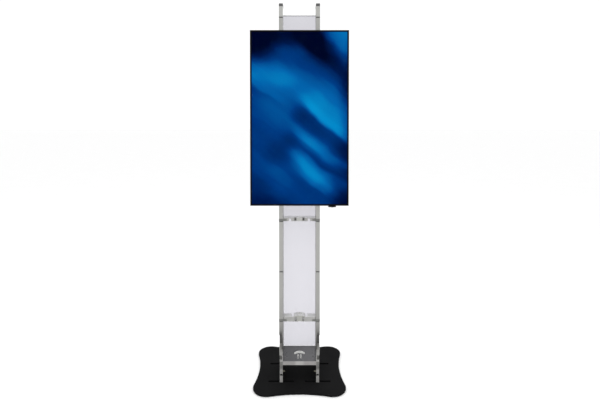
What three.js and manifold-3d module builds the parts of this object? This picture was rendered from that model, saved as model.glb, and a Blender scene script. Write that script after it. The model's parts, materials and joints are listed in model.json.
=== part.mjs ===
// Free-standing touchscreen kiosk: a portrait touch display on two aluminium uprights over a steel base.
// Millimetres, +Z up, front towards -Y. The origin is on the floor under the middle of the base.
import * as THREE from "three";
import { mergeVertices } from "three/addons/utils/BufferGeometryUtils.js";
import Module from "manifold-3d";

const wasm = await Module();
wasm.setup();

// ---- driving dimensions ----
const GAP = 0.3; // clearance between neighbouring pieces
const MAT_T = 4, BASE_T = 8; // rubber underlay and steel base plate
const BASE_TOP = MAT_T + BASE_T;
const LOBE_X = 181.5, LOBE_R = 77.5, WAIST = 237; // base outline: corner lobes and hollow sides
const SLOT_IN = 30, SLOT_OUT = 178, SLOT_W = 16; // base slots, from the centre line outwards
const SLOT_Y = [-129, 53];
const TOE_Y = -140, FRONT_Y = -14, BACK_Y = 80; // foot toe, uprights' front and back
const UP_X0 = 97, UP_X1 = 120.5; // inner and outer face of an upright
const UP_XC = (UP_X0 + UP_X1) / 2;
const FOOT_HALF = 8.5; // half the thickness of a foot
const TOE_IN = 0.0451; // sideways slope of the feet in front of the uprights
const SHOE_TOP = 49.5, GASKET_T = 10, CLAMP_TOP = 97, RAIL_TOP = 133;
const NECK_Y = 54, WEB = 8; // front of the neck, and the thickness of the web beside it
const BLADE_Z = 98.2; // underside of the foot blade
const PANEL_TOP = 2117;
const NODE = 300, UP_TOP = 2100, HEAD_TOP = 2164, CAP_TOP = 2181;
const GROOVE_X = 6; // depth of the grooves in the uprights' inner faces
const GUIDE_Y = [2, 10], PANEL_Y = [35.5, 42.5];
const PLATE_REAR = 34; // rear edge of deck and cross plates
const PIVOT_Y = -40, PIVOT_Z = 1513; // tilt axis
const DISP = { x: 279.8, z0: 1012.2, z1: 2007.6, front: -110, back: -58 };

// ---- materials ----
const LOOK = {
  black_steel: [0x17171a, 0.5, 0.4],
  black_plastic: [0x141416, 0.55, 0],
  rubber: [0x101010, 0.9, 0],
  aluminium: [0xaeb0ac, 0.38, 1],
  steel: [0xb4b5b8, 0.3, 1],
  acrylic: [0xdfe4e6, 0.12, 0],
  frosted: [0xe2e1e6, 0.6, 0],
  glass: [0xbfc8cc, 0.05, 0],
  screen: [0x063f86, 0.25, 0],
  grey_steel: [0x6f7276, 0.45, 0.8],
  board: [0x1c5a33, 0.6, 0],
};

// ---- solid helpers ----
function toSolid(geometry) {
  const g = geometry.clone();
  g.deleteAttribute("normal");
  g.deleteAttribute("uv");
  const m = mergeVertices(g, 1e-4);
  return new wasm.Manifold(new wasm.Mesh({
    numProp: 3,
    vertProperties: m.attributes.position.array,
    triVerts: new Uint32Array(m.index.array),
  }));
}

function toGeometry(s) {
  const m = s.getMesh();
  const g = new THREE.BufferGeometry();
  g.setAttribute("position", new THREE.BufferAttribute(new Float32Array(m.vertProperties), 3));
  g.setIndex(new THREE.BufferAttribute(new Uint32Array(m.triVerts), 1));
  return g;
}

function box(x0, x1, y0, y1, z0, z1) {
  const g = new THREE.BoxGeometry(x1 - x0, y1 - y0, z1 - z0);
  g.translate((x0 + x1) / 2, (y0 + y1) / 2, (z0 + z1) / 2);
  return toSolid(g);
}

// A drawn outline pushed along one axis. plane "xy" is pushed along Z, "yz" along X and "xz" along Y.
function prism(plane, outline, from, to, holes = []) {
  const flip = plane === "xz";
  const shape = new THREE.Shape(outline.map(([u, v]) => new THREE.Vector2(u, v)));
  const g = new THREE.ExtrudeGeometry(shape, { depth: to - from, bevelEnabled: false, steps: 1 });
  g.translate(0, 0, flip ? -to : from);
  const m = new THREE.Matrix4();
  if (plane === "yz") m.set(0, 0, 1, 0, 1, 0, 0, 0, 0, 1, 0, 0, 0, 0, 0, 1);
  if (plane === "xz") m.set(1, 0, 0, 0, 0, 0, -1, 0, 0, 1, 0, 0, 0, 0, 0, 1);
  if (plane !== "xy") g.applyMatrix4(m);
  return holes.reduce((body, h) => body.subtract(prism(plane, h, from - 1, to + 1)), toSolid(g));
}

function arc(cx, cy, r, a0, a1, n) {
  const pts = [];
  for (let i = 0; i <= n; i++) {
    const a = THREE.MathUtils.degToRad(a0 + ((a1 - a0) * i) / n);
    pts.push([cx + r * Math.cos(a), cy + r * Math.sin(a)]);
  }
  return pts;
}

const PLANE_OF = { x: "yz", y: "xz", z: "xy" };

// A round bar along an axis; (u, v) is its centre in the plane across that axis.
function rod(axis, u, v, r, from, to, n = 16) {
  return prism(PLANE_OF[axis], arc(u, v, r, 0, 360, n).slice(0, -1), from, to);
}

function stadium(x0, x1, y, w, n = 6) {
  const r = w / 2;
  return [...arc(x1 - r, y, r, -90, 90, n), ...arc(x0 + r, y, r, 90, 270, n)];
}

const join = (first, ...rest) => rest.reduce((a, b) => a.add(b), first);
const cut = (first, ...rest) => rest.reduce((a, b) => a.subtract(b), first);

const kiosk = new THREE.Group();
kiosk.name = "touchscreen_kiosk";

function add(name, solid, look, mirrored = false) {
  const g = toGeometry(solid);
  if (mirrored) {
    g.scale(-1, 1, 1);
    const ix = g.index.array;
    for (let i = 0; i < ix.length; i += 3) [ix[i + 1], ix[i + 2]] = [ix[i + 2], ix[i + 1]];
  }
  const [color, roughness, metalness] = LOOK[look];
  const mesh = new THREE.Mesh(g, new THREE.MeshStandardMaterial({ color, roughness, metalness }));
  mesh.name = name;
  kiosk.add(mesh);
}

// The same piece on the right (+X) and, mirrored, on the left.
function pair(name, solid, look) {
  add(name + "_r", solid, look);
  add(name + "_l", solid, look, true);
}

// ---- base ----
// Four convex lobes joined by wide hollow arcs that touch them tangentially.
function baseOutline(inset) {
  const d = WAIST - LOBE_X;
  const hollow = (LOBE_X ** 2 + d ** 2 - LOBE_R ** 2) / (2 * (LOBE_R - d));
  const reach = WAIST + hollow;
  const turn = THREE.MathUtils.radToDeg(Math.atan2(LOBE_X, reach - LOBE_X));
  const lobe = LOBE_R - inset, sweep = hollow + inset;
  const pts = [];
  for (let q = 0; q < 4; q++) {
    const a = 45 + 90 * q, m = THREE.MathUtils.degToRad(90 + 90 * q);
    const sx = Math.sign(Math.cos(THREE.MathUtils.degToRad(a)));
    const sy = Math.sign(Math.sin(THREE.MathUtils.degToRad(a)));
    pts.push(...arc(sx * LOBE_X, sy * LOBE_X, lobe, a - 45 - turn, a + 45 + turn, 18));
    const cx = reach * Math.cos(m), cy = reach * Math.sin(m), b = 270 + 90 * q;
    pts.push(...arc(cx, cy, sweep, b + turn, b - turn, 12).slice(1, -1));
  }
  return pts;
}

const slotRing = (w, grow) => [-1, 1].flatMap((s) => SLOT_Y.map((y) => {
  const a = s > 0 ? SLOT_IN : -SLOT_OUT, b = s > 0 ? SLOT_OUT : -SLOT_IN;
  return stadium(a - grow, b + grow, y, w);
}));

add("base_underlay", prism("xy", baseOutline(3), 0, MAT_T, slotRing(28, 7)), "rubber");
add("base_plate", prism("xy", baseOutline(0), MAT_T, BASE_TOP, slotRing(SLOT_W, 0)), "black_steel");

// ---- feet ----
const footX = (y) => UP_XC - Math.max(0, FRONT_Y - y) * TOE_IN;

// Plan of a foot: straight under the upright, turned inwards towards the toe.
function footPlan(front, back, half) {
  const at = (y, s) => [footX(y) + s * half, y];
  return [at(front, 1), at(FRONT_Y, 1), at(back, 1), at(back, -1), at(FRONT_Y, -1), at(front, -1)];
}

const boltHoles = SLOT_Y.map((y) => rod("z", footX(y), y, 5.8, BASE_TOP - 1, 42));
pair("foot_shoe", cut(prism("xy", footPlan(TOE_Y, BACK_Y, FOOT_HALF), BASE_TOP, SHOE_TOP), ...boltHoles),
  "aluminium");
pair("foot_gasket", prism("xy", footPlan(TOE_Y + 2, BACK_Y - 2, FOOT_HALF - 2), SHOE_TOP,
  SHOE_TOP + GASKET_T), "rubber");

SLOT_Y.forEach((y, i) => {
  const x = footX(y);
  pair("base_bolt_" + (i ? "rear" : "front"),
    join(rod("z", x, y, 11, 1, MAT_T, 18), rod("z", x, y, 5.5, MAT_T - 1, 40, 14)), "steel");
});

const CROSS_Y = -118, CROSS_Z = 64;
const POCKET = { y0: -127, y1: -79, z: 112, web: 4.5, bolt: -103 };
const POCKET_X = footX(POCKET.bolt) + 3;
const clampBlock = cut(
  prism("xy", footPlan(TOE_Y, BACK_Y, FOOT_HALF), SHOE_TOP + GASKET_T, CLAMP_TOP),
  rod("x", CROSS_Y, CROSS_Z, 3.4, 60, footX(CROSS_Y) + 7),
  rod("z", POCKET_X, POCKET.bolt, 4.4, 70, CLAMP_TOP + 1),
);
pair("foot_clamp", clampBlock, "aluminium");

const crossIn = footX(CROSS_Y) - FOOT_HALF;
pair("foot_cross_bolt", join(
  rod("x", CROSS_Y, CROSS_Z, 3.1, crossIn - 4, footX(CROSS_Y) + 6),
  rod("x", CROSS_Y, CROSS_Z, 6, crossIn - 3, crossIn - 0.6, 20),
  rod("x", CROSS_Y, CROSS_Z, 5.4, crossIn - 9, crossIn - 2.8, 6),
  rod("x", CROSS_Y, CROSS_Z, 4.2, crossIn - 13, crossIn - 8.8),
), "steel");

// Side views of the foot blade: the whole side, and the hollow cut into its outer two thirds between
// the upright's rounded lower front, the neck and the rail.
const bladeSide = [
  [TOE_Y, BLADE_Z], [BACK_Y, BLADE_Z], [BACK_Y, NODE], [FRONT_Y, NODE], [FRONT_Y, RAIL_TOP],
  [TOE_Y + 2, RAIL_TOP], [TOE_Y, RAIL_TOP - 2],
];
const hollowSide = [
  [FRONT_Y - 1, RAIL_TOP], [NECK_Y - 3, RAIL_TOP], [NECK_Y, RAIL_TOP + 3],
  ...Array.from({ length: 13 }, (_, i) => {
    const a = (Math.PI / 2) * (1 - i / 12);
    return [NECK_Y - (NECK_Y - FRONT_Y) * Math.cos(a), 248 - 52 * Math.sin(a)];
  }),
  [FRONT_Y - 1, 248],
];
const bladePlan = [
  ...[[TOE_Y, 1], [FRONT_Y, 1]].map(([y, s]) => [footX(y) + s * FOOT_HALF, y]),
  [UP_X1, FRONT_Y + 8], [UP_X1, BACK_Y], [UP_X0, BACK_Y], [UP_X0, FRONT_Y + 8],
  ...[[FRONT_Y, -1], [TOE_Y, -1]].map(([y, s]) => [footX(y) + s * FOOT_HALF, y]),
];
const rootPlan = [[UP_X0, FRONT_Y], [UP_X1, FRONT_Y], [UP_X1, BACK_Y], [UP_X0, BACK_Y]];
const spigot = (z0, z1, g) => box(UP_X0 + 9.5 + g, UP_X1 - 3 - g, FRONT_Y + 3 + g, 28 - g, z0, z1);
const bladeBody = cut(
  join(prism("xy", bladePlan, BLADE_Z, 150), prism("xy", rootPlan, 140, NODE))
    .intersect(prism("yz", bladeSide, 60, 140)),
  prism("yz", hollowSide, UP_X0 + WEB, 140),
);
const pocketCut = prism("xy", [
  [footX(POCKET.y0) - FOOT_HALF + POCKET.web, POCKET.y0], [140, POCKET.y0],
  [140, POCKET.y1], [footX(POCKET.y1) - FOOT_HALF + POCKET.web, POCKET.y1],
], POCKET.z, RAIL_TOP + 1);
pair("foot_blade", cut(
  join(bladeBody, spigot(NODE - 5, NODE + 60, GAP)),
  pocketCut,
  box(UP_X0 - 1, UP_X0 + GROOVE_X, ...PANEL_Y, RAIL_TOP + 0.01, NODE + 1),
  rod("z", POCKET_X, POCKET.bolt, 4.4, BLADE_Z - 1, POCKET.z + 1),
), "aluminium");
pair("pocket_bolt", join(
  rod("z", POCKET_X, POCKET.bolt, 4, 74, POCKET.z + 3),
  rod("z", POCKET_X, POCKET.bolt, 5.5, POCKET.z + 0.1, POCKET.z + 9, 6),
), "steel");

// ---- uprights ----
// Two-chamber extrusion with a guide groove and a panel groove in its inner face.
const rect = (x0, x1, y0, y1) => [[x0, y0], [x1, y0], [x1, y1], [x0, y1]];
const uprightOutline = [
  [UP_X0, FRONT_Y], [UP_X1, FRONT_Y], [UP_X1, BACK_Y], [UP_X0, BACK_Y],
  [UP_X0, PANEL_Y[1]], [UP_X0 + GROOVE_X, PANEL_Y[1]], [UP_X0 + GROOVE_X, PANEL_Y[0]],
  [UP_X0, PANEL_Y[0]], [UP_X0, GUIDE_Y[1]], [UP_X0 + GROOVE_X, GUIDE_Y[1]],
  [UP_X0 + GROOVE_X, GUIDE_Y[0]], [UP_X0, GUIDE_Y[0]],
];
const chambers = [
  rect(UP_X0 + 9.5, UP_X1 - 3, FRONT_Y + 3, 28),
  rect(UP_X0 + 3.5, UP_X1 - 3, 48, BACK_Y - 3),
];

// A shallow index groove round the outside, centred on a height.
function indexGroove(z, h = 6, d = 1.8) {
  return cut(
    box(UP_X0 - 5, UP_X1 + 5, FRONT_Y - 5, BACK_Y + 5, z - h / 2, z + h / 2),
    box(UP_X0 + d, UP_X1 - d, FRONT_Y + d, BACK_Y - d, z - h, z + h),
  );
}

const extrusion = (z0, z1, marks) => cut(
  prism("xy", uprightOutline, z0, z1, chambers), ...marks.map((z) => indexGroove(z)),
);
pair("upright_lower", extrusion(NODE, 4 * NODE - 0.2, [NODE, 2 * NODE, 3 * NODE, 4 * NODE]), "aluminium");
pair("upright_upper", extrusion(4 * NODE + 0.2, UP_TOP, [4 * NODE, 5 * NODE, 6 * NODE, UP_TOP]), "aluminium");
pair("splice_joiner", spigot(4 * NODE - 70, 4 * NODE + 70, GAP), "grey_steel");
pair("upright_head", cut(
  join(prism("xy", rootPlan, UP_TOP, HEAD_TOP), spigot(UP_TOP - 50, UP_TOP + 2, GAP)),
  indexGroove(UP_TOP),
  box(UP_X0 - 1, UP_X0 + GROOVE_X, ...PANEL_Y, UP_TOP - 1, PANEL_TOP + 4),
  box(UP_X0 + 8, UP_X1 - 6, 10, 60, HEAD_TOP - 14, HEAD_TOP + 1),
), "aluminium");
pair("end_cap", join(
  prism("xy", rect(UP_X0, UP_X1, FRONT_Y, BACK_Y), HEAD_TOP, CAP_TOP - 2),
  prism("xy", rect(UP_X0 + 1.5, UP_X1 - 1.5, FRONT_Y + 1.5, BACK_Y - 1.5), CAP_TOP - 3, CAP_TOP),
  box(UP_X0 + 8.4, UP_X1 - 6.4, 10.4, 59.6, HEAD_TOP - 13, HEAD_TOP + 1),
), "black_plastic");

// ---- deck, cross plates and back panel ----
// Crescent cable port, open towards the front, and two short slots before it.
const crescent = [
  ...arc(0, -59, 32, 14, 166, 16), [-31.6, -57], [-29.4, -62.5],
  ...arc(0, -97, 44, 128, 52, 8), [29.4, -62.5], [31.6, -57],
];
const shortSlots = [-8, 8].map((x) => rect(x - 3.5, x + 3.5, -108, -68));
const DECK_Z = [111, RAIL_TOP];
const deckSide = (y) => footX(y) - FOOT_HALF - GAP;
const deckOutline = [
  [-deckSide(TOE_Y), TOE_Y], [deckSide(TOE_Y), TOE_Y], [deckSide(FRONT_Y), FRONT_Y],
  [UP_X0 - GAP, FRONT_Y + 8], [UP_X0 - GAP, PLATE_REAR], [-UP_X0 + GAP, PLATE_REAR],
  [-UP_X0 + GAP, FRONT_Y + 8], [-deckSide(FRONT_Y), FRONT_Y],
];
const deckScrews = [-77, 77].flatMap((x) => [-90, -46].map((y) => rod("z", x, y, 4, 124, RAIL_TOP + 1, 12)));
add("deck_plate",
  cut(prism("xy", deckOutline, ...DECK_Z, [crescent, ...shortSlots]), ...deckScrews), "acrylic");

// A cross plate has a boss round its cable port and two pockets for its fixing bolts in the front
// face. The lowest one has an arched boss and two slots open to the rear; the others have their
// pockets open at the top and two channels right through their underside.
const BOSS_X = 33;
const PLATES = [
  { z: 302.4, thick: 27, arched: true },
  ...[901, 1187, 1787].map((z) => ({ z, thick: 20 })),
];
const around = (x, half, y0, y1, z0, z1) => [-1, 1].map((s) =>
  box(s * x - half, s * x + half, y0, y1, z0, z1));
function crossPlate({ z, thick, arched }) {
  const edge = UP_X0 - GAP, rise = arched ? 0.27 : 0.04, top = z + thick;
  const body = prism("xy", [
    [-edge, FRONT_Y + 5], [-edge + 5, FRONT_Y], [edge - 5, FRONT_Y], [edge, FRONT_Y + 5],
    [edge, PLATE_REAR], [-edge, PLATE_REAR],
  ], z, top);
  const boss = prism("xz", [[-BOSS_X, z + 10], [BOSS_X, z + 10], ...arc(0, 0, BOSS_X, 0, 180, 14)
    .map(([x, h]) => [x, top + h * rise])], FRONT_Y, PLATE_REAR);
  const slots = arched ? around(41, 6, FRONT_Y + 9, PLATE_REAR + 1, z - 1, top + 10)
    : around(56, 6.5, FRONT_Y - 1, PLATE_REAR + 1, z - 1, top - 4);
  const pockets = around(arched ? 22 : 24, 6, FRONT_Y - 1, FRONT_Y + 11, z + 2.5, arched ? top - 3 : top + 3);
  return cut(join(body, boss), ...slots, ...pockets,
    prism("xy", stadium(-17, 17, 14, 22), z - 1, top + 10));
}
PLATES.forEach((plate, i) => add("cross_plate_" + (i + 1), crossPlate(plate), "acrylic"));

const PX = UP_X0 + GROOVE_X - 0.5, PN = UP_X0 - 1;
add("back_panel_lower", prism("xz", [
  [-PN, RAIL_TOP + GAP], [PN, RAIL_TOP + GAP], [PN, 205], [PX, 205], [PX, 1199], [-PX, 1199],
  [-PX, 205], [-PN, 205],
], 36, 42), "frosted");
add("back_panel_upper", prism("xz", rect(-PX, PX, 1201, PANEL_TOP), 36, 42), "frosted");
add("panel_top_rail", box(-UP_X0 + GAP, UP_X0 - GAP, 33, 45, PANEL_TOP + GAP, PANEL_TOP + 3.5), "acrylic");

// ---- height carriage ----
const CAR_Z = [1413, 1613], KNOB_Y = 6;
add("carriage_plate", cut(
  box(-122, 122, -21, -15, ...CAR_Z),
  ...[-1, 1].map((s) => box(s * 42 - 14, s * 42 + 14, -30, 0, CAR_Z[0] + 12, CAR_Z[0] + 34)),
), "grey_steel");
pair("carriage_guide", cut(
  join(box(62, UP_X0 - 1, -15, 16, CAR_Z[0] + 12, CAR_Z[1] - 12),
    box(UP_X0 - 1.5, UP_X0 + GROOVE_X - 0.7, GUIDE_Y[0] + 0.4, GUIDE_Y[1] - 0.4,
      CAR_Z[0] + 12, CAR_Z[1] - 12)),
  rod("x", KNOB_Y, PIVOT_Z, 2.8, 60, UP_X0 + GROOVE_X),
), "black_plastic");

// Lobed hand knob outline.
function star(cu, cv, r, lobes, depth) {
  return Array.from({ length: lobes * 6 }, (_, i) => {
    const a = (2 * Math.PI * i) / (lobes * 6);
    const k = r - depth * (0.5 - 0.5 * Math.cos(a * lobes));
    return [cu + k * Math.cos(a), cv + k * Math.sin(a)];
  });
}
pair("clamp_knob", join(
  prism("yz", star(KNOB_Y, PIVOT_Z, 17, 5, 4), 42, 57),
  rod("x", KNOB_Y, PIVOT_Z, 6, 56, 61.4), rod("x", KNOB_Y, PIVOT_Z, 2.5, 60, UP_X0 + GROOVE_X - 1.2),
), "black_plastic");

// Tilt yoke on the carriage; the display plate's lugs sit inside its two ears.
const earSide = (y0, r) => [[y0, PIVOT_Z - r], ...arc(PIVOT_Y, PIVOT_Z, r, -90, -270, 10), [y0, PIVOT_Z + r]];
const ear = (s) => cut(
  prism("yz", earSide(-24, 12), Math.min(s * 60, s * 66), Math.max(s * 60, s * 66)),
  rod("x", PIVOT_Y, PIVOT_Z, 4.8, s * 63 - 9, s * 63 + 9),
);
add("tilt_yoke", join(box(-72, 72, -25, -21, 1453, 1573), ear(-1), ear(1)), "grey_steel");
const lugSide = [[-56, PIVOT_Z - 12], [-56, PIVOT_Z + 12], ...arc(PIVOT_Y, PIVOT_Z, 12, 90, -90, 10)];
const lug = (s) => cut(
  prism("yz", lugSide, Math.min(s * 53.7, s * 59.5), Math.max(s * 53.7, s * 59.5)),
  rod("x", PIVOT_Y, PIVOT_Z, 4.8, s * 56.6 - 9, s * 56.6 + 9),
);
add("vesa_plate",
  join(box(-110, 110, -58, -54.6, PIVOT_Z - 110, PIVOT_Z + 110), lug(-1), lug(1)), "grey_steel");
pair("tilt_knob", join(
  prism("yz", star(PIVOT_Y, PIVOT_Z, 14, 5, 3), 71, 84),
  rod("x", PIVOT_Y, PIVOT_Z, 6.5, 66.3, 72), rod("x", PIVOT_Y, PIVOT_Z, 4.5, 51, 68),
), "black_plastic");

// ---- display ----
const { x: DX, z0: DZ0, z1: DZ1, front: DF, back: DB } = DISP;
const frameXZ = (inset) => rect(-DX + inset, DX - inset, DZ0 + inset, DZ1 - inset);
const TRAY_Y = -84.3;
add("bezel", join(
  prism("xz", frameXZ(0), DF, DF + 2.5, [frameXZ(9.5)]),
  prism("xz", frameXZ(0), DF + 2, TRAY_Y, [frameXZ(3.5)]),
), "black_plastic");
add("touch_glass", prism("xz", frameXZ(4), DF + 2.8, DF + 6.8), "glass");
add("lcd_panel", prism("xz", frameXZ(7), DF + 7.1, DF + 17.1), "screen");
add("backlight_tray", join(
  prism("xz", frameXZ(7.5), TRAY_Y - 2.2, TRAY_Y - 0.2),
  prism("xz", frameXZ(7.5), DF + 17.4, TRAY_Y - 1, [frameXZ(9.5)]),
), "grey_steel");

const BAY = { x0: -235, x1: -115, z0: 1070, z1: 1150, y: -80 };
const vents = [0, 1, 2, 3, 4, 5, 6, 7].flatMap((i) => [1180, 1880].map((z) =>
  box(-122 + i * 34, -116 + i * 34, DB - 5, DB + 5, z, z + 60)));
add("rear_cover", cut(
  prism("xz", frameXZ(0.5), TRAY_Y + 0.3, DB),
  prism("xz", frameXZ(3.5), TRAY_Y - 1, DB - 2.5),
  box(BAY.x0, BAY.x1, -90, DB + 5, BAY.z0, BAY.z1),
  ...vents,
), "black_plastic");

// Connector bay: a tub let into the rear cover, with its sockets facing down from its ceiling.
const INLET_X = -200, SWITCH_X = -165, SWITCH_Y = -69, SWITCH_Z = 1139;
add("connector_bay", cut(
  join(
    cut(box(BAY.x0 + GAP, BAY.x1 - GAP, BAY.y, DB, BAY.z0 + GAP, BAY.z1 - GAP),
      box(BAY.x0 + 2.3, BAY.x1 - 2.3, BAY.y + 2, DB + 1, BAY.z0 - 1, BAY.z1 - 2.3)),
    box(SWITCH_X - 12, SWITCH_X + 12, BAY.y + 1, DB - 2, SWITCH_Z - 3, BAY.z1 - 1),
    ...[0, 1, 2].map((i) => box(-147 + i * 11, -140 + i * 11, BAY.y + 1, DB - 6, 1141, BAY.z1 - 1)),
  ),
  box(SWITCH_X - 10, SWITCH_X + 10, SWITCH_Y - 6, SWITCH_Y + 6, SWITCH_Z - 10, SWITCH_Z + 5.5),
  ...[0, 1, 2].map((i) => box(-146 + i * 11, -141 + i * 11, BAY.y + 4, DB - 8, 1130, 1146)),
), "black_plastic");
add("mains_inlet", join(
  cut(box(INLET_X - 14, INLET_X + 14, BAY.y + 2.3, DB - 1, 1128, BAY.z1 - 2.6),
    box(INLET_X - 12, INLET_X + 12, BAY.y + 4.3, DB - 3, 1120, 1144)),
  ...[[-7, -72], [0, -69], [7, -72]].map(([x, y]) =>
    box(INLET_X + x - 1, INLET_X + x + 1, y, y + 5, 1131, 1145)),
), "black_plastic");
const SWITCH_TILT = 8;
const rocker = prism("xz", [
  ...arc(SWITCH_X, SWITCH_Z, 3.6, 0, 180, 8), [SWITCH_X - 8.6, SWITCH_Z - 5], [SWITCH_X, SWITCH_Z - 6.6],
  [SWITCH_X + 8.6, SWITCH_Z - 5],
].map(([x, z]) => {
  const a = THREE.MathUtils.degToRad(SWITCH_TILT), u = x - SWITCH_X, v = z - SWITCH_Z;
  return [SWITCH_X + u * Math.cos(a) - v * Math.sin(a), SWITCH_Z + u * Math.sin(a) + v * Math.cos(a)];
}), SWITCH_Y - 5.6, SWITCH_Y + 5.6);
add("rocker_switch", rocker, "black_plastic");

add("main_board", join(
  box(-40, 120, -76, -74.4, 1640, 1860), box(-10, 22, -74.6, -70, 1740, 1772),
  box(50, 90, -74.6, -66, 1700, 1740),
  box(100, 116, -74.6, -63, 1660, 1800), box(-30, -18, -74.6, -68, 1660, 1720),
), "board");
add("power_board", join(
  box(-200, -60, -76, -74.4, 1640, 1860), box(-190, -150, -74.6, -62.5, 1660, 1700),
  box(-130, -90, -74.6, -64, 1720, 1780),
  ...[0, 1, 2].map((i) => rod("y", -180 + i * 24, 1820, 9, -74.6, -62.5, 12)),
), "board");
add("speaker_bar", join(
  box(-100, 100, -80, -63, 1026, 1056),
  ...[-70, 70].map((x) => rod("z", x, -71.5, 7.5, 1024, 1030, 14)),
), "black_plastic");

// Sensor module under the lower edge, with the control button in its underside.
const SX = 186.5, SY = -96;
add("sensor_module", cut(
  prism("yz", [[-106, 1005], [-104, 1003], [-86, 1003], [-86, DZ0], [-106, DZ0]], SX - 21.5, SX + 21.5),
  rod("z", SX, SY, 5, 1000, 1009, 16),
), "black_plastic");
add("control_button", rod("z", SX, SY, 4.6, 1000.6, 1007, 16), "black_plastic");

export default kiosk;
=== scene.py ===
"""Looks for the touchscreen kiosk: materials, edge rounding, small fittings, studio and camera.

+Z is up and the display faces -Y. Camera, lights and materials are in metres, and the fittings are
laid out in millimetres. CAD nodes keep their shape. The pieces added here are rings, screws, clips,
liners, pads, screens, marks and rims, with pale bands of painted light in the deck's ports and black
sheets of painted shade under the base slots, and each rides on the body that carries it. Some
materials hold painted light and shade too: the metal darkened by height and in its grooves, the
acrylic's level faces in tones of their own, and the upper cross plates painted lighter.
"""
import json
import math
from itertools import product

import bmesh
import bpy
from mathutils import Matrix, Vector


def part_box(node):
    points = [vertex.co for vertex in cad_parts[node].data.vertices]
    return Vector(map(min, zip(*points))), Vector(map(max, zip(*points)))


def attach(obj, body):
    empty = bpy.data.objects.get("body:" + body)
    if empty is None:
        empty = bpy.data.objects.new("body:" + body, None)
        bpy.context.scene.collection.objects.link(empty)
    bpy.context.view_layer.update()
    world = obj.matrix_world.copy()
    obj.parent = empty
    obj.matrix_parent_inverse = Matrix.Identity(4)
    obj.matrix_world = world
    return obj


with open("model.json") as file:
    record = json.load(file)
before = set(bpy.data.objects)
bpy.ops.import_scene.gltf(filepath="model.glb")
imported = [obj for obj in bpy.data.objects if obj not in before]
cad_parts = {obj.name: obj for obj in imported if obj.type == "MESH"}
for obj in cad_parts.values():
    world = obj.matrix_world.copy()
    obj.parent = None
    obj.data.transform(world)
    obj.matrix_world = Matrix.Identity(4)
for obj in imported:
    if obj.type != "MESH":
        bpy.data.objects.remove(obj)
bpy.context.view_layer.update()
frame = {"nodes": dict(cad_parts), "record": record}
scene = bpy.context.scene
MM = 0.001


def add(name, data):
    """Puts new object data into the scene."""
    o = bpy.data.objects.new(name, data)
    scene.collection.objects.link(o)
    return o


# ---------------------------------------------------------------- camera
EYE = (0.0, -2.688, 1.54)
LOOK_DOWN = math.radians(1.3)
SENSOR_WIDTH = 36.0     # millimetres
FOCAL_LENGTH = 27.3     # millimetres
SHIFT_X, SHIFT_Y = 0.0009, -0.1278
NEAR, FAR = 0.05, 90


def place_camera():
    data = bpy.data.cameras.new("camera")
    data.sensor_width = SENSOR_WIDTH
    data.lens = FOCAL_LENGTH
    data.shift_x = SHIFT_X
    data.shift_y = SHIFT_Y
    data.clip_start = NEAR
    data.clip_end = FAR
    camera = add("camera", data)
    camera.location = EYE
    camera.rotation_euler = (math.radians(90) - LOOK_DOWN, 0, 0)
    scene.camera = camera


place_camera()

# ---------------------------------------------------------------- studio
WORLD_WHITE = (1, 1, 1, 1)
WORLD_STRENGTH = 1.06
# Square area lights: place, what each points at, side, power in watts.
LIGHTS = {
    "key": ((-2.4, -2.4, 3.2), (0, 0, 1.0), 1.8, 20),
    "fill": ((2.6, -1.8, 2.2), (0, 0, 0.9), 1.8, 8),
    "top": ((0, 0.4, 4.4), (0, 0, 0), 3.2, 26),
    "rear": ((0.8, 3.0, 2.8), (0, 0, 1.1), 1.8, 14),
}


def light_studio():
    scene.view_settings.view_transform = "Standard"
    scene.view_settings.look = "None"
    world = bpy.data.worlds.new("studio")
    world.use_nodes = True
    background = world.node_tree.nodes["Background"]
    background.inputs["Color"].default_value = WORLD_WHITE
    background.inputs["Strength"].default_value = WORLD_STRENGTH
    scene.world = world
    for name, (place, target, side, power) in LIGHTS.items():
        data = bpy.data.lights.new(name, "AREA")
        data.size = side
        data.energy = power
        light = add(name, data)
        light.location = place
        light.rotation_euler = (Vector(target) - Vector(place)).to_track_quat("-Z", "Y").to_euler()


light_studio()

# ---------------------------------------------------------------- node helpers
LOOKS = {}  # every finished material by its name


def grey(level):
    return (level, level, level)


def tinted(tone, k):
    """The tone times k."""
    return tuple(min(1.0, t * k) for t in tone)


def opaque(tone):
    return (*tone, 1)


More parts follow.
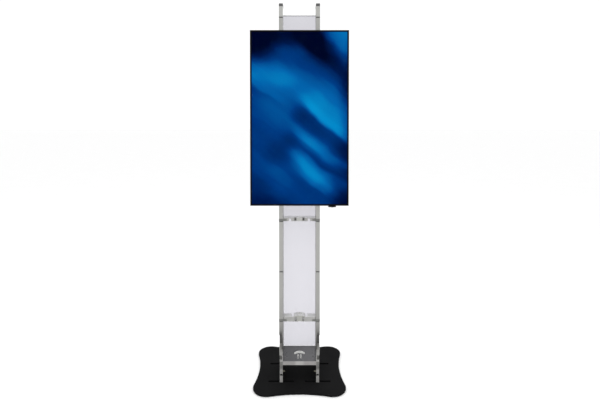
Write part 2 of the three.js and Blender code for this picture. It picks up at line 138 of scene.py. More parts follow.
class Mat:
    """A node material, with a short call for each kind of node used here."""

    def __init__(self, name):
        self.name = name
        self.material = bpy.data.materials.new(name)
        self.material.use_nodes = True
        self.tree = self.material.node_tree
        self.tree.nodes.clear()
        self.out = self.tree.nodes.new("ShaderNodeOutputMaterial")

    def node(self, kind, **props):
        n = self.tree.nodes.new(kind)
        for key, value in props.items():
            setattr(n, key, value)
        return n

    def link(self, a, b):
        self.tree.links.new(a, b)

    def put(self, value, socket):
        """Links an output to the socket, or sets a number or colour on it."""
        if hasattr(value, "is_output"):
            self.link(value, socket)
        else:
            socket.default_value = value

    def coords(self, scale=(1, 1, 1), rot=(0, 0, 0)):
        """The piece's own coordinates, scaled and turned."""
        own = self.node("ShaderNodeTexCoord")
        mapping = self.node("ShaderNodeMapping")
        self.link(own.outputs["Object"], mapping.inputs["Vector"])
        mapping.inputs["Scale"].default_value = scale
        mapping.inputs["Rotation"].default_value = rot
        return mapping.outputs[0]

    def split(self, vector):
        n = self.node("ShaderNodeSeparateXYZ")
        self.link(vector, n.inputs[0])
        return n.outputs

    def join(self, x, y):
        """A vector from two outputs, with Z at 0."""
        n = self.node("ShaderNodeCombineXYZ")
        self.link(x, n.inputs[0])
        self.link(y, n.inputs[1])
        return n.outputs[0]

    def xyz(self):
        """The piece's own X, Y and Z."""
        return self.split(self.node("ShaderNodeTexCoord").outputs["Object"])

    def facing(self):
        """The surface's own outward direction, as X, Y and Z."""
        return self.split(self.node("ShaderNodeNewGeometry").outputs["True Normal"])

    def noise(self, vector, scale, detail=3, rough=0.5):
        n = self.node("ShaderNodeTexNoise")
        self.link(vector, n.inputs["Vector"])
        n.inputs["Scale"].default_value = scale
        n.inputs["Detail"].default_value = detail
        n.inputs["Roughness"].default_value = rough
        return n.outputs["Fac"]

    def math(self, operation, a, b=0.0, c=0.0):
        n = self.node("ShaderNodeMath", operation=operation)
        for value, socket in zip((a, b, c), n.inputs):
            self.put(value, socket)
        return n.outputs[0]

    def magnitude(self, value):
        """The value without its sign."""
        return self.math("ABSOLUTE", value)

    def blend(self, a, b, share):
        """share of a with the rest of b."""
        return self.math("MULTIPLY_ADD", a, share, self.math("MULTIPLY", b, 1 - share))

    def remap(self, value, source, target, kind="LINEAR"):
        """Carries the value from one (low, high) span to another, and holds it there."""
        n = self.node("ShaderNodeMapRange", interpolation_type=kind, clamp=True)
        self.link(value, n.inputs["Value"])
        for end, low_high in (("From", source), ("To", target)):
            n.inputs[end + " Min"].default_value = low_high[0]
            n.inputs[end + " Max"].default_value = low_high[1]
        return n.outputs["Result"]

    def ramp(self, value, stops, kind="LINEAR"):
        n = self.node("ShaderNodeValToRGB")
        n.color_ramp.interpolation = kind
        elements = n.color_ramp.elements
        while len(elements) < len(stops):
            elements.new(0.5)
        for element, (position, tone) in zip(elements, stops):
            element.position = position
            element.color = opaque(tone)
        self.link(value, n.inputs["Fac"])
        return n.outputs["Color"]

    def shades(self, value, span, tone, dark, light):
        """The tone, from dark to light times itself as the value crosses the span."""
        return self.ramp(value, [(span[0], tinted(tone, dark)), (span[1], tinted(tone, light))])

    def mix(self, share, a, b, blend="MIX"):
        n = self.node("ShaderNodeMix", data_type="RGBA", blend_type=blend)
        self.put(share, n.inputs[0])
        self.put(a, n.inputs[6])
        self.put(b, n.inputs[7])
        return n.outputs[2]

    def mix_shader(self, share, a, b):
        n = self.node("ShaderNodeMixShader")
        self.put(share, n.inputs[0])
        self.link(a, n.inputs[1])
        self.link(b, n.inputs[2])
        return n.outputs[0]

    def bump(self, height, strength, distance):
        n = self.node("ShaderNodeBump")
        n.inputs["Strength"].default_value = strength
        n.inputs["Distance"].default_value = distance
        self.link(height, n.inputs["Height"])
        return n.outputs[0]

    def surface(self, color, rough, metal=0.0, normal=None, gloss=None):
        """Principled surface; gloss sets its specular level."""
        n = self.node("ShaderNodeBsdfPrincipled")
        self.put(color, n.inputs["Base Color"])
        self.put(rough, n.inputs["Roughness"])
        n.inputs["Metallic"].default_value = metal
        if normal is not None:
            self.link(normal, n.inputs["Normal"])
        if gloss is not None:
            n.inputs["Specular IOR Level"].default_value = gloss
        return n.outputs[0]

    def clear(self, tint):
        n = self.node("ShaderNodeBsdfTransparent")
        n.inputs[0].default_value = opaque(tint)
        return n.outputs[0]

    def done(self, shader):
        self.link(shader, self.out.inputs["Surface"])
        LOOKS[self.name] = self.material


# ---------------------------------------------------------------- kinds of material
def anodised(name, tone, grain, metal=1.0, rough=0.40, dim=(), channels=()):
    """Satin clear-anodised aluminium with fine drawing lines along the bar.

    grain stretches the lines, dim lists (height, share of the tone) of a painted reflection and shade that
    darken the metal by height, and channels lists the Y of fine drawn grooves in the bar's sides, which are
    cut in by the bump and painted dark as painted shade.
    """
    # Painted shade: level faces that look up take this share of the tone.
    top_share = 0.78
    channel_edge = (0.0006, 0.0012)
    m = Mat(name)
    lines = m.noise(m.coords(grain), scale=60, detail=4, rough=0.6)
    cloud = m.noise(m.coords(), scale=9)
    color = m.shades(m.blend(lines, cloud, 0.7), (0.3, 0.7), tone, 0.88, 1.1)
    height = m.math("MULTIPLY", lines, 0.3)
    # Painted reflection and shade: the tone darkened by height, with level faces that look up at their own
    # share.
    if dim:
        low, high = dim[0][0], dim[-1][0]
        rise = m.remap(m.xyz()[2], (low, high), (0, 1))
        shade = m.ramp(rise, [((z - low) / (high - low), grey(k)) for z, k in dim], "EASE")
        upward = m.remap(m.facing()[2], (0.5, 0.8), (0, 1))
        color = m.mix(1.0, color, m.mix(upward, shade, opaque(grey(top_share))), "MULTIPLY")
    # Painted shade: each groove is painted dark, as well as cut in by the bump.
    for y in channels:
        off = m.magnitude(m.math("SUBTRACT", m.xyz()[1], y))
        sideways = m.math("GREATER_THAN", m.magnitude(m.facing()[0]), 0.8)
        cut = m.math("MULTIPLY", m.remap(off, channel_edge, (1, 0), "SMOOTHSTEP"), sideways)
        color = m.mix(m.math("MULTIPLY", cut, 0.75), color, opaque(tinted(tone, 0.12)))
        height = m.math("SUBTRACT", height, cut)
    gleam = m.remap(lines, (0.3, 0.7), (rough - 0.06, rough + 0.06))
    m.done(m.surface(color, gleam, metal, m.bump(height, 0.3, 0.0008)))


def powder(name, tone, rough, gloss, grain=500, strength=0.25, wear=0.0):
    """Powder-coated or moulded surface with a fine even grain, a little lighter in patches.

    grain is how fine the texture is, strength how deep, and wear how far pale scuffs show.
    """
    m = Mat(name)
    own = m.coords()
    fine = m.noise(own, scale=grain, detail=2)
    broad = m.noise(own, scale=7, rough=0.55)
    color = m.shades(broad, (0.25, 0.75), tone, 0.85, 1.18)
    if wear:
        scuff = m.noise(m.coords((1, 5, 1), (0, 0, 0.5)), scale=28, detail=5, rough=0.7)
        color = m.mix(m.remap(scuff, (0.62, 0.8), (0, wear)), color, opaque(tinted(tone, 2.2)))
    sheen = m.remap(fine, (0.2, 0.8), (rough - 0.06, rough + 0.06))
    m.done(m.surface(color, sheen, normal=m.bump(fine, strength, 0.0004), gloss=gloss))


def brushed(name, tone, rough=0.3, grain=(4, 4, 4)):
    """Bare metal with fine brushing lines."""
    m = Mat(name)
    lines = m.noise(m.coords(grain), scale=80, detail=4, rough=0.6)
    color = m.shades(lines, (0.2, 0.8), tone, 0.8, 1.1)
    gleam = m.remap(lines, (0.2, 0.8), (rough - 0.08, rough + 0.1))
    m.done(m.surface(color, gleam, metal=1.0, normal=m.bump(lines, 0.15, 0.0004)))


def acrylic(name, tone, clear_share, edge_tone=None, top_tone=None):
    """Machined acrylic block: milky body with a polished skin, saw lines along the cut edges.

    edge_tone is the middle of the front edge, and top_tone the level faces, which are painted light: their
    tone as they catch and reflect the light, apart from the sides.
    """
    middle = (0.012, 0.034)
    m = Mat(name)
    saw = m.noise(m.coords((1, 1, 9)), scale=110, rough=0.6)
    cloud = m.noise(m.coords(), scale=16)
    body = m.shades(m.blend(saw, cloud, 0.5), (0.3, 0.7), tone, 0.88, 1.1)
    # Painted light: the level faces in a tone of their own.
    if top_tone:
        level = m.math("GREATER_THAN", m.magnitude(m.facing()[2]), 0.6)
        body = m.mix(level, body, m.shades(cloud, (0.3, 0.7), top_tone, 0.93, 1.07))
    if edge_tone:
        near = m.remap(m.magnitude(m.xyz()[0]), middle, (1, 0), "SMOOTHSTEP")
        front = m.math("LESS_THAN", m.facing()[1], -0.6)
        body = m.mix(m.math("MULTIPLY", near, front), body, opaque(edge_tone))
    frost = m.surface(body, 0.22, normal=m.bump(saw, 0.10, 0.0004))
    m.done(m.mix_shader(1.0 - clear_share, m.clear((0.94, 0.96, 0.95)), frost))


def hazed(name):
    """Clear sheet with a light haze: what is behind it shows through evenly."""
    m = Mat(name)
    broad = m.noise(m.coords(), scale=2.5, detail=2)
    wave = m.noise(m.coords((1, 1, 0.3)), scale=18, detail=2)
    color = m.ramp(broad, [(0.3, (0.86, 0.855, 0.88)), (0.7, (0.91, 0.905, 0.93))])
    milk = m.surface(color, 0.35, normal=m.bump(wave, 0.05, 0.001), gloss=0.2)
    share = m.remap(broad, (0.3, 0.7), (0.045, 0.06))
    m.done(m.mix_shader(share, m.clear((0.803, 0.799, 0.825)), milk))


def cover_glass(name):
    """Anti-reflective touch glass: almost all passes straight through, with a faint smear of gloss."""
    m = Mat(name)
    gloss = m.node("ShaderNodeBsdfGlossy")
    gloss.inputs["Roughness"].default_value = 0.05
    smear = m.remap(m.noise(m.coords(), scale=14), (0.3, 0.7), (0.0004, 0.0010))
    m.done(m.mix_shader(smear, m.clear((0.985, 0.99, 0.99)), gloss.outputs[0]))


def picture(name):
    """The lit screen: soft diagonal folds of blue light on navy.

    Places run from 0 to 1 across the screen from its left and down it from its top. Lengths are in
    screen widths and turns in degrees.
    """
    m = Mat(name)
    x, _, z = m.xyz()
    lo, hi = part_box("lcd_panel")
    tall = (hi.z - lo.z) / (hi.x - lo.x)
    place = m.join(m.remap(x, (lo.x, hi.x), (0, 1)), m.remap(z, (lo.z, hi.z), (tall, 0)))
    warp = m.noise(place, scale=2.2, detail=2)
    shove = m.join(m.remap(warp, (0.2, 0.8), (-0.03, 0.03)), m.remap(warp, (0.2, 0.8), (0.03, -0.03)))
    drift = m.node("ShaderNodeVectorMath", operation="ADD")
    m.link(place, drift.inputs[0])
    m.link(shove, drift.inputs[1])

    def local(right, down, long, wide, turn):
        """Coordinates that run from -1 to 1 along and across a turned oval."""
        n = m.node("ShaderNodeMapping", vector_type="TEXTURE")
        m.link(drift.outputs[0], n.inputs["Vector"])
        n.inputs["Location"].default_value = (right, down * tall, 0)
        n.inputs["Rotation"].default_value = (0, 0, math.radians(turn))
        n.inputs["Scale"].default_value = (long, wide, 1)
        return n.outputs[0]

    def glow(right, down, long, wide, turn):
        """Soft oval, 1 in its middle and 0 at its rim."""
        d = m.node("ShaderNodeVectorMath", operation="LENGTH")
        m.link(local(right, down, long, wide, turn), d.inputs[0])
        return m.remap(d.outputs["Value"], (0, 1), (1, 0), "SMOOTHERSTEP")

    def fold(right, down, long, wide, turn, crisp=0.12):
        """Light lying against the lower right side of a crease and fading away upwards from it."""
        across = m.split(local(right, down, long, wide, turn))
        along = m.remap(m.magnitude(across[0]), (0.15, 1), (1, 0), "SMOOTHERSTEP")
        rise = m.remap(across[1], (-1, 0), (0, 1), "SMOOTHSTEP")
        stop = m.remap(across[1], (0, crisp), (1, 0), "SMOOTHSTEP")
        return m.math("MULTIPLY", along, m.math("MULTIPLY", rise, stop))

    def rays(wide, turn, low, high):
        """Long thin streaks of light between two levels."""
        streak = m.noise(local(0, 0, 1.0, wide, turn), scale=1.1)
        return m.remap(streak, (0.25, 0.75), (low, high))

    lights = (
        (0.27, glow(0.13, 0.24, 0.60, 0.22, 12)),      # band at the upper left
        (0.20, glow(0.46, 0.30, 0.50, 0.28, 35)),
        (0.32, glow(0.95, 0.02, 0.38, 0.40, 20)),      # upper right corner
        (0.50, fold(0.77, 0.52, 0.52, 0.50, 41)),      # brightest fold
        (0.08, glow(0.56, 0.42, 0.22, 0.14, 40)),
        (0.06, glow(0.42, 0.36, 0.34, 0.20, 40)),
        (0.14, fold(0.10, 0.32, 0.42, 0.22, 35, 0.2)),
        (0.14, glow(0.26, 0.46, 0.44, 0.32, 40)),
        (0.22, fold(0.70, 0.685, 0.46, 0.15, 42, 0.3)),
        (0.20, glow(0.60, 0.64, 0.38, 0.14, 42)),
        (0.30, glow(0.60, 0.79, 0.42, 0.19, 40)),      # lower fold
        (0.16, fold(0.62, 0.79, 0.42, 0.15, 40, 0.5)),
        (0.16, glow(0.74, 0.89, 0.42, 0.10, 38)),
        (0.05, glow(0.14, 0.77, 0.26, 0.20, 40)),
        (0.08, glow(0.28, 0.86, 0.30, 0.30, 40)),
    )
    shades = (
        (0.60, glow(0.00, 0.04, 0.42, 0.34, 15)),      # upper left corner
        (0.38, glow(0.44, 0.02, 0.46, 0.22, 0)),
        (0.58, glow(0.70, 0.07, 0.48, 0.25, 55)),      # dark sweep towards the right edge
        (0.20, glow(0.99, 0.26, 0.36, 0.22, 50)),
        (0.09, glow(0.62, 0.53, 0.40, 0.12, 38)),      # shade under the brightest fold
        (0.10, glow(0.50, 0.49, 0.16, 0.12, 38)),
        (0.20, glow(1.03, 0.48, 0.92, 0.16, 90)),      # fall-off along the right edge
        (0.18, glow(0.97, 0.70, 0.30, 0.14, 48)),
        (0.09, glow(0.41, 0.63, 0.16, 0.16, 35)),
        (0.12, glow(0.66, 0.725, 0.46, 0.045, 41)),
        (0.11, glow(0.27, 0.70, 0.22, 0.24, 60)),
        (0.14, glow(0.04, 0.92, 0.32, 0.30, 30)),
        (0.40, glow(1.02, 1.00, 0.34, 0.20, 30)),      # lower right corner
        (0.20, glow(1.02, 0.86, 0.36, 0.12, 42)),
        (0.16, glow(0.20, 1.02, 0.50, 0.20, 10)),
    )
    level = m.math("ADD", rays(0.09, 40, 0.38, 0.46), rays(0.028, 38, -0.035, 0.035))
    for amount, shape in lights:
        level = m.math("MULTIPLY_ADD", shape, amount, level)
    for amount, shape in shades:
        level = m.math("MULTIPLY_ADD", shape, -amount, level)
    color = m.ramp(level, [(0.0, (0.0, 0.0012, 0.018)), (0.22, (0.0, 0.010, 0.078)),
                           (0.45, (0.0, 0.040, 0.220)), (0.70, (0.0005, 0.125, 0.420)),
                           (1.0, (0.001, 0.300, 0.650))])
    lit = m.node("ShaderNodeEmission")
    m.link(color, lit.inputs["Color"])
    lit.inputs["Strength"].default_value = 1.0
    m.done(lit.outputs[0])


# ---------------------------------------------------------------- materials
ALONG_Z = (12, 12, 0.15)
ALONG_Y = (12, 0.3, 12)
# Painted reflections of the dark base and deck in the metal, and painted shade: the tone set by height,
# as (height in metres, share of the tone).
DIM_FOOT = ((0.09, 0.36), (0.132, 0.42), (0.140, 0.27), (0.185, 0.31), (0.239, 0.52), (0.30, 0.68))
DIM_CLAMP = ((0.059, 1.0), (0.082, 1.0), (0.088, 0.62), (0.097, 0.56))
DIM_UPRIGHT = ((0.30, 0.80), (0.50, 0.90), (0.80, 0.97), (2.09, 0.94), (2.11, 1.08))
# Y of the grooves in the uprights' sides, painted dark as painted shade.
CHANNEL_Y = (0.004, 0.062)


def make_metals():
    anodised("upright_aluminium", (0.410, 0.410, 0.395), ALONG_Z, dim=DIM_UPRIGHT, channels=CHANNEL_Y)
    anodised("foot_aluminium", (0.42, 0.415, 0.40), ALONG_Y, metal=0.35, rough=0.46, dim=DIM_FOOT)
    anodised("shoe_aluminium", (0.34, 0.337, 0.328), ALONG_Y, metal=0.10, rough=0.5)
    anodised("clamp_aluminium", (0.32, 0.316, 0.306), ALONG_Y, metal=0.45, rough=0.45, dim=DIM_CLAMP)
    brushed("tray_steel", grey(0.5), grain=(30, 1, 1))
    brushed("bolt_steel", grey(0.50), rough=0.28)
    brushed("dark_steel", grey(0.10), rough=0.4)
    brushed("dull_brass", (0.17, 0.165, 0.13), rough=0.35)
    brushed("clip_steel", (0.205, 0.205, 0.197), rough=0.42, grain=(4, 4, 1))


def make_coatings():
    powder("base_steel", (0.0086, 0.0086, 0.0090), 0.60, gloss=0.010, grain=900, strength=0.2, wear=0.25)
    powder("mount_steel", (0.05, 0.05, 0.053), 0.5, gloss=0.3, grain=900)
    powder("rubber", grey(0.005), 0.85, gloss=0.02)
    powder("gasket_rubber", grey(0.012), 0.8, gloss=0.04)
    powder("ring_grey", (0.060, 0.060, 0.058), 0.7, gloss=0.1)
    powder("pad_grey", (0.26, 0.26, 0.25), 0.8, gloss=0.06)
    powder("guide_plastic", grey(0.02), 0.5, gloss=0.3, grain=700)
    powder("knob_plastic", grey(0.02), 0.5, gloss=0.3, grain=700)
    powder("cap_plastic", grey(0.095), 0.5, gloss=0.2, grain=700)
    powder("bezel_black", (0.0030, 0.0030, 0.0034), 0.5, gloss=0.03, grain=1200)
    powder("cover_plastic", (0.016, 0.016, 0.017), 0.55, gloss=0.3, grain=450, strength=0.5)
    powder("switch_plastic", grey(0.012), 0.4, gloss=0.4, grain=900)
    powder("circuit_board", (0.02, 0.12, 0.05), 0.5, gloss=0.4, grain=300)
    powder("liner_white", (0.86, 0.86, 0.84), 0.35, gloss=0.4)
    powder("label_foil", grey(0.42), 0.35, gloss=0.5, grain=300)
    powder("socket_dark", grey(0.0012), 0.9, gloss=0.0, grain=400)
    powder("lens_gloss", (0.010, 0.004, 0.006), 0.08, gloss=0.5, grain=60, strength=0.02)


def make_clear_sheets():
    acrylic("acrylic", (0.36, 0.357, 0.345), clear_share=0.06,
            edge_tone=(0.37, 0.37, 0.345), top_tone=(0.62, 0.62, 0.61))
    # Lighter copy of the acrylic for the upper cross plates, painted light: sides, edges and tops lighter.
    acrylic("upper_plate_acrylic_painted_lighter", (0.40, 0.397, 0.385), clear_share=0.06,
            edge_tone=(0.48, 0.48, 0.46), top_tone=(0.95, 0.95, 0.94))
    acrylic("smoked_acrylic", (0.275, 0.265, 0.26), clear_share=0.0,
            edge_tone=(0.38, 0.37, 0.36), top_tone=(0.045, 0.045, 0.046))
    acrylic("rail_acrylic", (0.60, 0.60, 0.61), clear_share=0.2)
    hazed("frosted_acrylic")
    cover_glass("cover_glass")
    picture("screen")


make_metals()
make_coatings()
make_clear_sheets()

# ---------------------------------------------------------------- looks and edges of the CAD nodes
SLOT_OF = {s["node"]: s["material_slot"] for s in frame["record"]["subparts"]}
# Nodes whose look differs from their slot's, by the start of the name.
OWN_LOOK = {
    "foot_shoe": "shoe_aluminium",
    "foot_clamp": "clamp_aluminium",
    "foot_cross_bolt": "dull_brass",
    "panel_top_rail": "rail_acrylic",
    "cross_plate_2": "upper_plate_acrylic_painted_lighter",
    "cross_plate_3": "upper_plate_acrylic_painted_lighter",
    "cross_plate_4": "upper_plate_acrylic_painted_lighter",
}
# Edge rounding in millimetres, where it isn't the usual one.
USUAL_ROUND = 0.7
ROUND = {
    "base_plate": 0.9, "base_underlay": 0.5, "bezel": 1.0, "rear_cover": 1.6, "touch_glass": 0.0,
    "lcd_panel": 0.0, "main_board": 0.0, "power_board": 0.0, "back_panel_lower": 0.5,
    "back_panel_upper": 0.5, "connector_bay": 0.3, "mains_inlet": 0.3, "backlight_tray": 0.3,
    "rocker_switch": 0.5, "control_button": 0.5, "sensor_module": 0.8,
}
ROUND_ABOVE = math.radians(40)
SMOOTH_BELOW = math.radians(35)


def smoother():
    """Node group that shades a mesh smooth, except across its sharp edges."""
    g = bpy.data.node_groups.new("smooth_by_angle", "GeometryNodeTree")
    for side in ("INPUT", "OUTPUT"):
        g.interface.new_socket("Geometry", in_out=side, socket_type="NodeSocketGeometry")
    start = g.nodes.new("NodeGroupInput")
    end = g.nodes.new("NodeGroupOutput")
    face = g.nodes.new("GeometryNodeSetShadeSmooth")
    face.domain = "FACE"
    edge = g.nodes.new("GeometryNodeSetShadeSmooth")
    edge.domain = "EDGE"
    edge.inputs["Shade Smooth"].default_value = False
    angle = g.nodes.new("GeometryNodeInputMeshEdgeAngle")
    sharp = g.nodes.new("FunctionNodeCompare")
    sharp.data_type = "FLOAT"
    sharp.operation = "GREATER_THAN"
    sharp.inputs[1].default_value = SMOOTH_BELOW
    g.links.new(start.outputs[0], face.inputs["Geometry"])
    g.links.new(face.outputs[0], edge.inputs["Geometry"])
    g.links.new(angle.outputs["Unsigned Angle"], sharp.inputs[0])
    g.links.new(sharp.outputs[0], edge.inputs["Selection"])
    g.links.new(edge.outputs[0], end.inputs[0])
    return g


SMOOTH = smoother()


def soften(o, width):
    """Rounds an object's sharp edges by width (mm) and shades it smooth between them."""
    if width:
        bevel = o.modifiers.new("edges", "BEVEL")
        bevel.width = width * MM
        bevel.segments = 2
        bevel.limit_method = "ANGLE"
        bevel.angle_limit = ROUND_ABOVE
        bevel.use_clamp_overlap = True
    o.modifiers.new("smooth", "NODES").node_group = SMOOTH


def look_of(node):
    for start, look in OWN_LOOK.items():
        if node.startswith(start):
            return LOOKS[look]
    return LOOKS[SLOT_OF[node]]


for node_name, node_object in frame["nodes"].items():
    node_object.data.materials.clear()
    node_object.data.materials.append(look_of(node_name))
    soften(node_object, ROUND.get(node_name, USUAL_ROUND))


# ---------------------------------------------------------------- outlines (millimetres)
def polar(r, a):
    return (r * math.cos(a), r * math.sin(a))


def arc(cx, cy, r, a0, a1, n):
    """n + 1 points round a centre, from angle a0 to a1 in degrees."""
    points = (polar(r, math.radians(a0 + (a1 - a0) * i / n)) for i in range(n + 1))
    return [(cx + x, cy + y) for x, y in points]


def round_outline(radius_at, n=24):
    """n points round the origin at the radius that a function gives for their angle."""
    return [polar(radius_at(a), a) for a in (2 * math.pi * i / n for i in range(n))]


def circle(r, n=24):
    return round_outline(lambda a: r, n)


def hexagon(r):
    """Hexagon of flat-to-flat half width r, walked with as many points as a circle."""
    return round_outline(lambda a: r / math.cos(a % (math.pi / 3) - math.pi / 6))


def cross_cut(r):
    """Four-armed recess of a screw head, walked with as many points as a circle."""
    return round_outline(lambda a: r * (0.42 + 0.58 * abs(math.cos(2 * a)) ** 3))


def rounded(hx, hy, r, n=4):
    """Rounded rectangle of half sizes hx, hy."""
    out = []
    for sx, sy, a0 in ((1, 1, 0), (-1, 1, 90), (-1, -1, 180), (1, -1, 270)):
        out += arc(sx * (hx - r), sy * (hy - r), r, a0, a0 + 90, n)
    return out


def shifted(outline, dx, dy):
    return [(x + dx, y + dy) for x, y in outline]


# ---------------------------------------------------------------- bodies (millimetres)
def frame_of(axis):
    """Two cross directions and the axis itself, for 'x', '-x', 'y', '-y', 'z' or '-z'."""
    w = {"x": Vector((1, 0, 0)), "y": Vector((0, 1, 0)), "z": Vector((0, 0, 1))}[axis[-1]]
    if axis[0] == "-":
        w = -w
    u = Vector((1, 0, 0)) if axis[-1] == "z" else Vector((0, 0, 1))
    return u, w.cross(u), w


def loop(bm, at, axis, outline, h):
    """Points of an outline, h along the axis from a place."""
    u, v, w = frame_of(axis)
    return [bm.verts.new((Vector(at) + u * a + v * b + w * h) * MM) for a, b in outline]


def bridge(bm, a, b):
    """Faces between two loops with equally many points."""
    n = len(a)
    for i in range(n):
        bm.faces.new((a[i], a[(i + 1) % n], b[(i + 1) % n], b[i]))


def stack(bm, at, axis, rings):
    """Closed body through a list of (outline, height); its first and last rings are capped."""
    loops = [loop(bm, at, axis, outline, h) for outline, h in rings]
    for a, b in zip(loops, loops[1:]):
        bridge(bm, a, b)
    bm.faces.new(list(reversed(loops[0])))
    bm.faces.new(loops[-1])


def slab(bm, at, axis, outline, h0, h1):
    """Straight body on one outline, from h0 to h1 along the axis."""
    stack(bm, at, axis, [(outline, h0), (outline, h1)])


def closed_ring(bm, at, axis, section):
    """Ring through a list of (outline, height) that comes back to its first outline."""
    loops = [loop(bm, at, axis, outline, h) for outline, h in section]
    for a, b in zip(loops, loops[1:] + loops[:1]):
        bridge(bm, a, b)


def sleeve(bm, at, axis, outer, inner, h0, h1):
    """Wall between two outlines of equal length, from h0 to h1 along the axis."""
    closed_ring(bm, at, axis, [(outer, h0), (outer, h1), (inner, h1), (inner, h0)])


def washer(bm, at, axis, r, hole, thick):
    section = ((hole, 0), (r, 0), (r, thick * 0.7), (r * 0.95, thick), (hole, thick))
    closed_ring(bm, at, axis, [(circle(a), h) for a, h in section])


def disc(bm, at, axis, section):
    """Turned disc through a list of (radius, height)."""
    stack(bm, at, axis, [(circle(r), h) for r, h in section])


def socket_screw(bm, at, axis, r, h, key):
    """Socket-head screw of radius r whose head stands h above its seat."""
    stack(bm, at, axis, [(circle(r), 0), (circle(r), h - 0.12 * r), (circle(r * 0.9), h),
                         (hexagon(key), h), (hexagon(key * 0.96), h - min(h, r) * 0.55)])


def pan_screw(bm, at, axis, r, h):
    """Round-topped screw with a cross recess."""
    stack(bm, at, axis, [(circle(r), 0), (circle(r), h * 0.35), (circle(r * 0.82), h * 0.85),
                         (circle(r * 0.55), h), (cross_cut(r * 0.48), h), (cross_cut(r * 0.42), h * 0.35)])


def bolt(bm, at, axis, r, h, key, wide, hole, thick):
    """Socket-head screw on a washer of radius wide."""
    washer(bm, at, axis, wide, hole, thick)
    socket_screw(bm, Vector(at) + frame_of(axis)[2] * thick, axis, r, h, key)


def piece(name, bm, look, body, width=0.0):
    """Makes the mesh an object that rides on a body and counts to a material slot."""
    bmesh.ops.recalc_face_normals(bm, faces=bm.faces)
    mesh = bpy.data.meshes.new(name)
    bm.to_mesh(mesh)
    bm.free()
    o = add(name, mesh)
    mesh.materials.append(LOOKS[look])
    soften(o, width)
    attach(o, body)


def mm_box(node):
    """Lowest and highest corner of a CAD node in millimetres."""
    lo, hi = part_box(node)
    return lo / MM, hi / MM


def pivot_of(joint_name):
    """Place of a hinge in millimetres."""
    joints = frame["record"]["behaviour"]["joints"]
    return next(Vector(joint["pos_m"]) / MM for joint in joints if joint["name"] == joint_name)


# ---------------------------------------------------------------- stand
SIDES = (("right", 1), ("left", -1))
UP_LO, UP_HI = mm_box("upright_lower_r")
UP_MID = (UP_LO + UP_HI) / 2
UP_HALF = (UP_HI - UP_LO) / 2
PLATES = [mm_box("cross_plate_%d" % i) for i in (1, 2, 3, 4)]
DECK_LO, DECK_HI = mm_box("deck_plate")
INDEX_STEP = 300     # from one index groove of the uprights to the next
SPLICE_Z = 4 * INDEX_STEP
HEAD_Z = 7 * INDEX_STEP


def index_rings(side, sign):
    """Dark inlay rings in the index grooves of an upright."""
    half_tall = 2.9
    outer = rounded(UP_HALF.x - 0.35, UP_HALF.y - 0.35, 1.0)
    inner = rounded(UP_HALF.x - 1.75, UP_HALF.y - 1.75, 0.4)
    bm = bmesh.new()
    for z in range(INDEX_STEP, HEAD_Z + 1, INDEX_STEP):
        sleeve(bm, (sign * UP_MID.x, UP_MID.y, z), "z", outer, inner, -half_tall, half_tall)
    piece("index_rings_" + side[0], bm, "ring_grey", "stand")


def upright_screws(side, sign):
    """Flush screws through an upright into the cross plates, the foot, the splice and the head."""
    outward = "x" if sign > 0 else "-x"
    bm = bmesh.new()
    for (lo, _), y in product(PLATES, (-4, 22)):
        socket_screw(bm, (sign * UP_HI.x, y, lo.z + 10), outward, r=4.6, h=0.15, key=2.0)
    for z in (INDEX_STEP + 30, SPLICE_Z - 30, SPLICE_Z + 30, HEAD_Z - 25, HEAD_Z + 25):
        socket_screw(bm, (sign * UP_HI.x, UP_MID.y - 20, z), outward, r=3.4, h=0.15, key=1.5)
    piece("upright_screws_" + side[0], bm, "dark_steel", "stand")


def plate_clips(side, sign):
    """Clips round the front corner of an upright that hold the ends of the cross plates."""
    proud, thick = 0.7, 0.65
    inner_x, rear_y = 76, 30
    x, y = UP_HI.x + proud, UP_LO.y - proud
    band = [(inner_x, y), (x, y), (x, rear_y), (x - thick, rear_y), (x - thick, y + thick),
            (inner_x, y + thick)]
    bm = bmesh.new()
    for lo, _ in PLATES:
        slab(bm, (0, 0, lo.z), "z", [(sign * a, b) for a, b in band], 1, 14)
    piece("plate_clips_" + side[0], bm, "clip_steel", "stand")


def slot_painted_shade_sheets():
    """Black sheets that close the base slots from below: painted shade for the dark depth of the slots."""
    half_long, half_wide, corner = 80.5, 13.6, 13.5
    slot_x, slot_y = (104, -104), (-129, 53)
    shade_sheet = rounded(half_long, half_wide, corner, 6)
    bm = bmesh.new()
    for x, y in product(slot_x, slot_y):
        slab(bm, (x, y, 0), "z", shade_sheet, 0.1, 0.8)
    piece("slot_painted_shade_sheets", bm, "socket_dark", "stand")


def deck_painted_light_bands():
    """Pale bands of painted light in the crescent cable port and the two short slots of the deck: thin
    liners standing in for the light carried up the cut walls of the clear acrylic.
    """
    wall = 1.2
    foot, rim = 0.5, DECK_HI.z - DECK_LO.z + 0.25     # heights above the deck's underside
    front_y, front_r = -59, 31.6                      # the crescent's rounded edge
    rear_y, rear_r = -97, 44.5                        # and its hollow edge
    slot_x, slot_y = (8, -8), -88
    outer = arc(0, front_y, front_r, 13, 167, 18) + arc(0, rear_y, rear_r, 128, 52, 18)
    inner = arc(0, front_y, front_r - wall, 15, 165, 18) + arc(0, rear_y, rear_r + wall, 126, 54, 18)
    bm = bmesh.new()
    sleeve(bm, (0, 0, DECK_LO.z), "z", outer, inner, foot, rim)
    for x in slot_x:
        sleeve(bm, (x, slot_y, DECK_LO.z), "z", rounded(3.3, 19.8, 0.6), rounded(2.5, 19.0, 0.4), foot, rim)
    piece("deck_painted_light_bands", bm, "liner_white", "stand")


def deck_screws():
    """Screws sunk in the deck's counterbores."""
    sunk = 5
    bm = bmesh.new()
    for x, y in product((-77, 77), (-90, -46)):
        socket_screw(bm, (x, y, DECK_HI.z - sunk), "z", r=3.7, h=4.2, key=1.7)
    piece("deck_screws", bm, "dark_steel", "stand")


